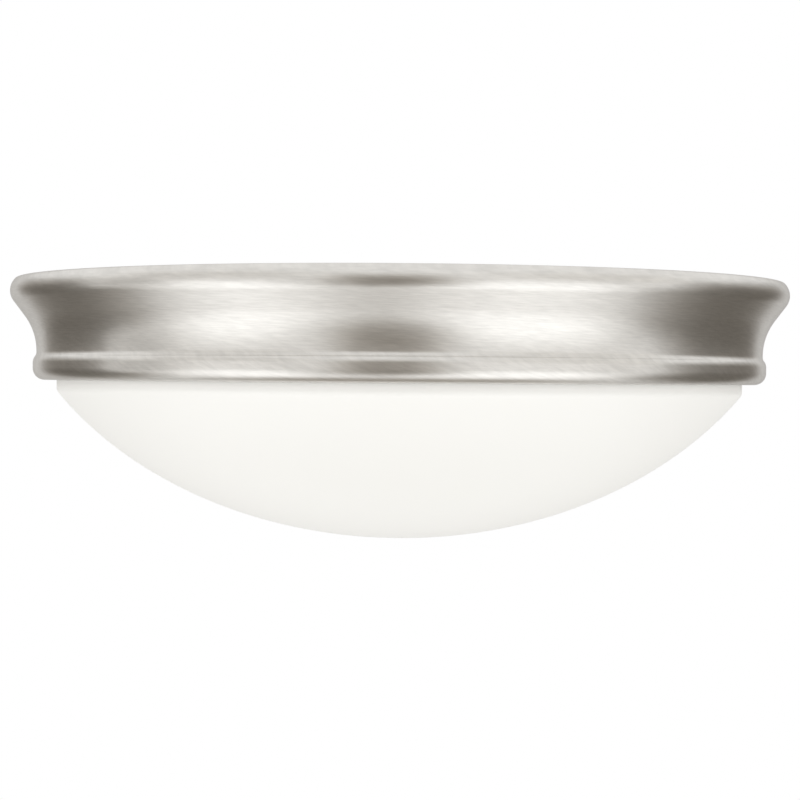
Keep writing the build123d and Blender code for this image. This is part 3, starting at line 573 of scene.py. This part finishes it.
# name: colour, metallic, roughness, (grain stretch x, y, z), grain strength, bump in metres
FINISHES = {
    "zinc_steel": ((0.60, 0.61, 0.62), 1.0, 0.34, (160, 160, 160), 0.10, 0.00002),
    "reflector_aluminium": ((0.86, 0.87, 0.88), 1.0, 0.22, (900, 12, 40), 0.05, 0.00001),
    "porcelain": ((0.86, 0.85, 0.81), 0.0, 0.12, (45, 45, 45), 0.03, 0.00004),
    "brass": ((0.80, 0.60, 0.30), 1.0, 0.28, (220, 220, 220), 0.08, 0.00001),
    "cap_tin": ((0.70, 0.70, 0.70), 1.0, 0.36, (400, 400, 400), 0.12, 0.00003),
    "insulator_black": ((0.03, 0.03, 0.035), 0.0, 0.15, (120, 120, 120), 0.10, 0.00001),
    "cap_aluminium": ((0.78, 0.78, 0.79), 1.0, 0.30, (260, 260, 260), 0.08, 0.00001),
    "lamp_housing_white": ((0.86, 0.86, 0.85), 0.0, 0.38, (700, 700, 700), 0.03, 0.00001),
    "led_board_white": ((0.84, 0.84, 0.81), 0.0, 0.45, (500, 500, 500), 0.03, 0.00001),
    "lamp_globe_frost": ((0.88, 0.87, 0.85), 0.0, 0.50, (1500, 1500, 1500), 0.03, 0.00001),
    "lead_black": ((0.025, 0.025, 0.027), 0.0, 0.33, (300, 300, 300), 0.20, 0.00001),
    "lead_white": ((0.82, 0.82, 0.79), 0.0, 0.33, (300, 300, 300), 0.04, 0.00001),
    "connector_plastic": ((0.80, 0.27, 0.04), 0.0, 0.40, (600, 600, 600), 0.08, 0.00002),
    "bare_copper": ((0.80, 0.42, 0.26), 1.0, 0.30, (500, 500, 500), 0.12, 0.00001),
    "earth_green": ((0.05, 0.30, 0.11), 0.6, 0.35, (400, 400, 400), 0.12, 0.00002),
    "nylon_black": ((0.035, 0.035, 0.037), 0.0, 0.42, (500, 500, 500), 0.15, 0.00001),
    "spring_steel": ((0.42, 0.43, 0.45), 1.0, 0.26, (30, 30, 700), 0.12, 0.00001),
    "vinyl_clear": ((0.78, 0.78, 0.74), 0.0, 0.30, (250, 250, 250), 0.05, 0.00002),
}


def plain_finish(name):
    """Finish of a small piece: its colour with the fine grain and unevenness of the real one."""
    tint, metallic, roughness, stretch, vary, bump_depth = FINISHES[name]
    material, add, shader = new_material(name)
    place = add("ShaderNodeTexCoord").outputs["Object"]
    scaled = add("ShaderNodeMapping", {"Vector": place, "Scale": stretch})
    grain = add.grain(scaled, detail=5.0, roughness=0.6)
    shade = add.ranged(grain, low=0.3, high=0.7, start=1.0 - vary, end=1.0 + vary / 2)
    rough = add.ranged(grain, start=roughness * 0.85, end=min(1.0, roughness * 1.15))
    add.fill(shader, {"Base Color": add.blend(1.0, (*tint, 1.0), shade, "MULTIPLY"),
                      "Metallic": metallic, "Roughness": rough,
                      "Normal": add.bump(grain, 0.5, bump_depth)})
    return material


def fibre_material(s):
    """Matted glass fibre: fine strands that lie across each other; the deeper yellow between them is
    painted shade in the gaps.
    """
    # darker, deeper yellow for the gaps between strands: painted shade of the mat's depth, not the
    # fibre's own colour
    shaded_gap_yellow = (0.56, 0.44, 0.17, 1.0)
    material, add, shader = new_material("glass_fibre")
    place = add("ShaderNodeTexCoord").outputs["Object"]
    bent = add("ShaderNodeTexNoise", {"Vector": place, "Scale": 45.0, "Detail": 2.0})
    swayed = add("ShaderNodeVectorMath", {0: bent.outputs["Color"], "Scale": 0.012}, operation="SCALE")
    moved = add("ShaderNodeVectorMath", {0: place, 1: swayed}, operation="ADD")
    strands = []
    for angle in (20, 78, 141):
        laid = add("ShaderNodeMapping", {"Vector": moved, "Rotation": (0, 0, math.radians(angle)),
                                         "Scale": (2300, 140, 700)})
        strands.append(add.grain(laid))
    top = add.maths("MAXIMUM", strands[0], add.maths("MAXIMUM", strands[1], strands[2]))
    on_top = add.ranged(top, low=0.48, high=0.72)
    # colour runs from the painted gap shade between strands up to the strands' own colour on top
    add.fill(shader, {"Base Color": add.blend(on_top, shaded_gap_yellow, (*s.fibre, 1.0)),
                      "Roughness": 0.95, "Sheen Weight": 0.15, "Normal": add.bump(top, 0.5, 0.0004)})
    return material


def finish(name):
    """The material of a slot, made once."""
    made = bpy.data.materials.get("finish_" + name)
    if made is None:
        metal = bpy.context.scene.light_metal
        special = {"brushed_nickel": nickel_material, "opal_glass": opal_material,
                   "fibreglass": fibre_material}
        made = special[name](metal) if name in special else plain_finish(name)
        made.name = "finish_" + name
    return made


# ---------------------------------------------------------------- cutters, outlines and the operators
def prism(outline, low, high):
    """Corners and faces of an upright prism over an outline."""
    size = len(outline)
    points = [(x, y, low) for x, y in outline] + [(x, y, high) for x, y in outline]
    faces = [tuple(reversed(range(size))), tuple(range(size, 2 * size))]
    faces += [(i, (i + 1) % size, size + (i + 1) % size, size + i) for i in range(size)]
    return points, faces


def merged_prisms(name, outlines, low, high):
    """One mesh object of prisms that stand apart."""
    points, faces = [], []
    for outline in outlines:
        more, sides = prism(outline, low, high)
        faces += [tuple(i + len(points) for i in side) for side in sides]
        points += more
    return mesh_object(name, points, faces=faces)


def disc(x, y, radius, parts=32):
    return [(x + radius * math.cos(math.tau * i / parts), y + radius * math.sin(math.tau * i / parts))
            for i in range(parts)]


def screw_out():
    """From the light's middle out to a mounting screw's axis."""
    low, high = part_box("mounting_screws")
    return (high.y - low.y) / 2 - high.x


def at_springs(radius):
    """Points at the springs' rivets, on a circle round the light's middle."""
    return [on_circle((0, 0), radius, math.radians(angle)) for angle in SPRING_ANGLES]


def keyhole_outline(plate, side):
    """Slot and eye of a keyhole, whose narrow end holds a mounting screw; side is 1 or -1."""
    slot, eye = plate.keyhole_slot, plate.keyhole_eye
    meet = math.asin(slot / eye)
    line = arc((0, 0), slot, math.pi / 2, 3 * math.pi / 2, step=math.radians(15))
    line += arc((plate.keyhole_reach, 0), eye, meet - math.pi, math.pi - meet, step=math.radians(12))
    return [(side * x, side * (screw_out() + y)) for x, y in line]


class CEILING_OT_canopy(bpy.types.Operator):
    """Spins the nickel canopy and cuts the holes in its plate"""
    bl_idname = "ceiling.canopy"
    bl_label = "Canopy"

    def execute(self, context):
        s = context.scene.light_canopy
        plate = context.scene.light_plate
        low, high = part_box("canopy_earth_screw")
        earth = (low + high) / 2
        outlines = [keyhole_outline(plate, 1), keyhole_outline(plate, -1)]
        outlines.append(disc(0, 0, plate.wiring_hole, parts=48))
        outlines += [disc(0, y, plate.rivet_hole) for y in (plate.bracket_out, -plate.bracket_out)]
        outlines.append(disc(earth.x, earth.y, plate.earth_hole))
        outlines += [disc(x, y, plate.rivet_hole) for x, y in at_springs(plate.spring_out)]
        plate_z = -s.recess_depth
        holes = merged_prisms("plate_holes", outlines, plate_z - s.sheet - CUTTER_OVER,
                              plate_z + CUTTER_OVER)
        piece = turned("canopy_shell", canopy_section(s), s.steps, finish("brushed_nickel"), holes)
        discard(holes)
        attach(piece, "fixture")
        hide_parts("canopy")
        return {"FINISHED"}


class CEILING_OT_bowl(bpy.types.Operator):
    """Spins the opal glass bowl with its rim and groove"""
    bl_idname = "ceiling.bowl"
    bl_label = "Glass bowl"

    def execute(self, context):
        s = context.scene.light_bowl
        lip_r = ring_sizes(context.scene.light_canopy).lip[0]
        piece = turned("opal_bowl", bowl_section(s, lip_r), s.steps, finish("opal_glass"))
        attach(piece, "glass")
        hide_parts("glass_bowl")
        return {"FINISHED"}


def fine_line(low, high, spacing):
    """Heights from low to high, close enough together to carry a thread."""
    parts = max(1, math.ceil((high - low) / spacing))
    return [low + (high - low) * i / parts for i in range(parts + 1)]


def rolled_shell(root, wall, low, high, spacing):
    """Closed section of a thin rolled tube, ready to be threaded."""
    heights = fine_line(low, high, spacing)
    return [(root, z) for z in heights] + [(root - wall, z) for z in reversed(heights)]


class CEILING_OT_threads(bpy.types.Operator):
    """Rolls the helical threads of the lamps' caps and of their lampholders"""
    bl_idname = "ceiling.threads"
    bl_label = "Lamp threads"

    def execute(self, context):
        s = context.scene.light_thread
        for side, way in SIDES.items():
            low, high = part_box(f"lampholder_{side}")
            face = low.x if way > 0 else high.x
            axis_z = (low.z + high.z) / 2
            put = Matrix.Translation((face, 0, axis_z)) @ Matrix.Rotation(way * math.pi / 2, 4, "Y")
            for label, node, root, slot, body in (
                    ("lamp_thread", "lamp_screw_shell", s.lamp_root, "cap_aluminium", "lamp"),
                    ("socket_thread", "socket_shell", s.socket_root, "brass", None)):
                ends = sorted(abs(corner.x - face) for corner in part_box(f"{node}_{side}"))
                section = rolled_shell(root, s.sheet, *ends, s.pitch / s.rows)
                thread = {"Thread Pitch": s.pitch, "Thread Depth": s.depth,
                          "Thread Low": ends[0], "Thread High": ends[1], "Thread Core": 0.0}
                piece = turned(f"{label}_{side}", section, s.steps, finish(slot), thread=thread)
                piece.data.transform(put)
                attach(piece, f"{body}_{side}" if body else "fixture")
                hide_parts(f"{node}_{side}")
        return {"FINISHED"}


class CEILING_OT_screws(bpy.types.Operator):
    """Cuts the threaded mounting screws with their slotted heads"""
    bl_idname = "ceiling.screws"
    bl_label = "Mounting screws"

    def execute(self, context):
        s = context.scene.light_fasteners
        low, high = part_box("mounting_screws")
        head_r = high.x
        head_low = high.z - s.head_height
        crown = (head_r - s.head_round, high.z - s.head_round)
        section = [(0, low.z), (s.tip_r, low.z), (s.root, low.z + s.taper)]
        heights = fine_line(low.z + s.taper + s.first_row, head_low, s.pitch / s.rows)
        section += [(s.root, z) for z in heights]
        section += [(head_r - s.head_edge, head_low), (head_r, head_low + s.head_edge)]
        section += arc(crown, s.head_round, 0, math.pi / 2, step=math.radians(15))
        section += [(0, high.z)]
        half, reach = s.slot_half, 2 * head_r
        slot_line = [(-reach, -half), (reach, -half), (reach, half), (-reach, half)]
        slots = merged_prisms("screw_slot", [slot_line], high.z - s.slot_depth, high.z + CUTTER_OVER)
        thread = {"Thread Pitch": s.pitch, "Thread Depth": s.depth, "Thread Low": low.z,
                  "Thread High": head_low - s.run_out, "Thread Core": (s.tip_r + s.root) / 2}
        places = [(0, screw_out(), 0), (0, -screw_out(), 0)]
        piece = turned("threaded_screws", section, s.screw_steps, finish("zinc_steel"), slots, places,
                       thread, sharp=50.0)
        discard(slots)
        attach(piece, "fixture")
        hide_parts("mounting_screws")
        return {"FINISHED"}


class CEILING_OT_rivets(bpy.types.Operator):
    """Sets the domed rivets that hold the bracket and the springs"""
    bl_idname = "ceiling.rivets"
    bl_label = "Rivets"

    def execute(self, context):
        s = context.scene.light_fasteners
        dome_r = (s.rivet_head ** 2 + s.rivet_rise ** 2) / (2 * s.rivet_rise)
        right, step = math.pi / 2, math.radians(6)
        half = math.asin(s.rivet_head / dome_r)
        ring_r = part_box("spring_rivets")[1].y - s.rivet_head
        bracket_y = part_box("bracket_rivets")[1].y - s.rivet_head
        spots = {"spring_rivets": [(x, y, 0) for x, y in at_springs(ring_r)],
                 "bracket_rivets": [(0, bracket_y, 0), (0, -bracket_y, 0)]}
        for node, places in spots.items():
            low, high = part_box(node)
            section = arc((0, low.z + dome_r), dome_r, -right, half - right, step)
            section += [(s.rivet_shank, low.z + s.rivet_rise), (s.rivet_shank, high.z - s.rivet_rise)]
            section += arc((0, high.z - dome_r), dome_r, right - half, right, step)
            piece = turned("domed_" + node, section, s.rivet_steps, finish("zinc_steel"), places=places)
            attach(piece, "fixture")
            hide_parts(node)
        return {"FINISHED"}


class CEILING_OT_pad(bpy.types.Operator):
    """Lays the soft fibre pad on the canopy's plate"""
    bl_idname = "ceiling.pad"
    bl_label = "Fibre pad"

    def execute(self, context):
        s = context.scene.light_pad
        low, high = PAD_LOW.z, PAD_HIGH.z
        edge = disc(0, 0, PAD_HIGH.x - s.edge_in, parts=96)
        slab = merged_prisms("fibre_blanket", [edge], low, high)
        outlines = [disc(0, 0, s.opening, parts=64)]
        outlines += [disc(0, y, s.screw_opening) for y in (screw_out(), -screw_out())]
        spring_out = context.scene.light_plate.spring_out
        outlines += [disc(x, y, s.notch) for x, y in at_springs(spring_out)]
        cutter = merged_prisms("pad_holes", outlines, low - CUTTER_OVER, high + CUTTER_OVER)
        cut = slab.modifiers.new("holes", "BOOLEAN")
        cut.operation, cut.solver, cut.object = "DIFFERENCE", "EXACT", cutter
        remesh = slab.modifiers.new("grain", "REMESH")
        remesh.mode, remesh.voxel_size = "VOXEL", s.voxel
        smooth = slab.modifiers.new("soft", "SMOOTH")
        smooth.factor, smooth.iterations = 0.5, 4
        bpy.context.view_layer.update()
        mesh = bpy.data.meshes.new_from_object(slab.evaluated_get(bpy.context.evaluated_depsgraph_get()))
        piece = bpy.data.objects.new("fibre_blanket_pad", mesh)
        bpy.context.scene.collection.objects.link(piece)
        discard(slab, cutter)
        outward = [vertex.normal.copy() for vertex in mesh.vertices]
        underside = -0.5  # a normal that leans further down is the underside's, which stays flat
        for vertex, normal in zip(mesh.vertices, outward):
            at = vertex.co
            lump = noise.noise(at * s.lump_pace) * s.lump + noise.noise(at * s.tuft_pace) * s.tuft
            if normal.z > underside:
                at += normal * lump
            at.z = max(at.z, low + s.lift)
        mesh.materials.clear()
        mesh.materials.append(finish("fibreglass"))
        mesh.shade_smooth()
        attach(piece, "fixture")
        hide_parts("insulation_pad")
        return {"FINISHED"}


class CEILING_OT_fittings(bpy.types.Operator):
    """Gives the carried-over pieces inside and on the back their finishes"""
    bl_idname = "ceiling.fittings"
    bl_label = "Fittings"

    def execute(self, context):
        slots = {entry["node"]: entry["material_slot"] for entry in frame["record"]["subparts"]}
        for name, node in frame["nodes"].items():
            material = finish(slots[name])
            for holder in node.material_slots:
                holder.material = material
            if not node.material_slots:
                node.data.materials.append(material)
        return {"FINISHED"}


class CEILING_OT_studio(bpy.types.Operator):
    """Sets the camera, the pale floor, the softboxes and the dark cards"""
    bl_idname = "ceiling.studio"
    bl_label = "Studio"

    def execute(self, context):
        scene = context.scene
        s = scene.light_studio
        lens = bpy.data.cameras.new("camera")
        lens.lens, lens.sensor_width, lens.clip_end = s.lens, 36.0, 50.0
        lens.shift_x, lens.shift_y = s.shift_x, s.shift_y
        camera = bpy.data.objects.new("camera", lens)
        camera.matrix_world = (Matrix.Translation((0, -s.camera_away, -s.camera_below))
                               @ Matrix.Rotation(math.pi / 2, 4, "X") @ Matrix.Rotation(s.roll, 4, "Z"))
        scene.collection.objects.link(camera)
        scene.camera = camera
        scene.view_settings.view_transform = "Standard"
        self.world(scene, s)
        self.floor(s)
        self.cards(s)
        return {"FINISHED"}

    def seen_directly(self, add):
        """1 for rays that come from the camera, a shiny surface or clear glass."""
        path = add("ShaderNodeLightPath").outputs
        return add.maths("MAXIMUM", path["Is Camera Ray"],
                         add.maths("MAXIMUM", path["Is Glossy Ray"], path["Is Transmission Ray"]))

    def world(self, scene, s):
        world = bpy.data.worlds.new("studio_light")
        world.use_nodes = True
        world.node_tree.nodes.clear()
        add = Wiring(world.node_tree)
        strength = add.ranged(self.seen_directly(add), start=s.ambient, end=1.0)
        back = add("ShaderNodeBackground", {"Color": (1, 1, 1, 1), "Strength": strength})
        add("ShaderNodeOutputWorld", {"Surface": back})
        scene.world = world

    def floor(self, s):
        half, low = s.floor_half, -s.floor_below
        floor = mesh_object("floor", [(-half, -half, low), (half, -half, low), (half, half, low),
                                      (-half, half, low)], faces=[(0, 1, 2, 3)])
        material, add, shader = new_material("floor_paint")
        glow = add.ranged(self.seen_directly(add), end=s.floor_glow)
        add.fill(shader, {"Base Color": (0.85, 0.85, 0.84, 1), "Roughness": 0.9,
                          "Emission Color": (1, 1, 1, 1), "Emission Strength": glow})
        floor.data.materials.append(material)

    def aim(self, s, thing, azimuth, elevation):
        """Puts a card in a direction from the light's middle and turns it to face it."""
        a, e = math.radians(azimuth), math.radians(elevation)
        way = Vector((math.sin(a) * math.cos(e), -math.cos(a) * math.cos(e), math.sin(e)))
        place = way * s.card_away - Vector((0, 0, s.card_aim))
        facing = way.to_track_quat("Z", "Y").to_matrix().to_4x4()
        thing.matrix_world = Matrix.Translation(place) @ facing

    def card(self, s, name, azimuth, elevation, wide, tall, even, levels, tint):
        """A card that only the metal and the gloss see; its light goes from one level to another.

        even is the share of its half width and half height over which the first level holds.
        """
        x, y = wide / 2, tall / 2
        card = mesh_object(name, [(-x, -y, 0), (x, -y, 0), (x, y, 0), (-x, y, 0)], faces=[(0, 1, 2, 3)])
        card.data.materials.append(self.lit_cloth(name + "_cloth", wide, tall, even, levels, tint))
        self.aim(s, card, azimuth, elevation)
        card.visible_camera = card.visible_diffuse = card.visible_shadow = False

    def lit_cloth(self, name, wide, tall, even, levels, tint):
        """Cloth whose light changes smoothly from its middle to its edges."""
        edge_tint = (1.0, 0.99, 0.975, 1)
        material, add, shader = new_material(name)
        place = add("ShaderNodeTexCoord").outputs["Object"]
        x, y, _ = add("ShaderNodeSeparateXYZ", {"Vector": place}).outputs
        falls = []
        for axis, size in ((x, wide), (y, tall)):
            falls.append(add.ranged(add.maths("ABSOLUTE", axis), low=size / 2 * even, high=size / 2,
                                    start=1.0, end=0.0, interpolation_type="SMOOTHSTEP"))
        fade = add.maths("MULTIPLY", *falls)
        level = add.ranged(fade, start=levels[1], end=levels[0])
        add.fill(shader, {"Base Color": (0, 0, 0, 1), "Emission Strength": level,
                          "Emission Color": add.blend(fade, edge_tint, (*tint, 1))})
        return material

    def cards(self, s):
        white, warm, grey = (0.985, 0.993, 1.0), (1.0, 0.885, 0.745), (1.0, 0.98, 0.95)
        # name, azimuth and elevation in degrees, width and height in metres, even share,
        # radiance in the middle and at the edge, colour in the middle
        for card in (
                ("softbox_left", -52, -38, 1.9, 3.4, 0.15, (s.softbox, 0.76), white),
                ("softbox_right", 42, -38, 2.4, 3.4, 0.22, (s.softbox, 0.74), white),
                ("card_front", -3, -14, 1.25, 3.0, 0.35, (s.card * 1.8, 0.80), warm),
                ("card_below", 180, -80, 2.2, 1.8, 0.35, (0.30, 0.60), warm),
                ("card_high_left", -55, 20, 2.1, 1.1, 0.50, (0.74, 0.90), grey),
                ("card_high_right", 55, 22, 2.1, 1.1, 0.50, (0.84, 0.94), grey),
                ("card_side_left", -80, -2, 1.0, 1.3, 0.30, (0.52, 0.92), grey),
                ("card_left", -116, -16, 2.35, 2.4, 0.35, (s.card, 0.60), warm),
                ("card_right", 116, -16, 2.5, 2.4, 0.40, (s.card, 0.55), warm),
                ("card_back_left", -165, 0, 1.6, 3.4, 0.40, (0.55, 0.75), grey),
                ("card_back_right", 167, 0, 1.6, 3.4, 0.40, (0.52, 0.75), grey)):
            self.card(s, *card)


STEPS = (CEILING_OT_canopy, CEILING_OT_bowl, CEILING_OT_threads, CEILING_OT_screws, CEILING_OT_rivets,
         CEILING_OT_pad, CEILING_OT_fittings, CEILING_OT_studio)


class CEILING_PT_panel(bpy.types.Panel):
    """Lists the light's pieces and their sizes"""
    bl_idname = "CEILING_PT_panel"
    bl_label = "Ceiling Light"
    bl_space_type = "VIEW_3D"
    bl_region_type = "UI"
    bl_category = "Ceiling Light"

    def draw(self, context):
        for name, group in SETTINGS.items():
            box = self.layout.box()
            for key in group.__annotations__:
                box.prop(getattr(context.scene, name), key)
        for step in STEPS:
            self.layout.operator(step.bl_idname)


def register():
    for kind in (*SETTINGS.values(), *STEPS, CEILING_PT_panel):
        bpy.utils.register_class(kind)
    for name, group in SETTINGS.items():
        setattr(bpy.types.Scene, name, bpy.props.PointerProperty(type=group))


def unregister():
    for name in SETTINGS:
        delattr(bpy.types.Scene, name)
    for kind in (CEILING_PT_panel, *reversed(STEPS), *SETTINGS.values()):
        bpy.utils.unregister_class(kind)


def main():
    register()
    for step in STEPS:
        family, name = step.bl_idname.split(".")
        getattr(getattr(bpy.ops, family), name)()


if __name__ == "__main__":
    main()
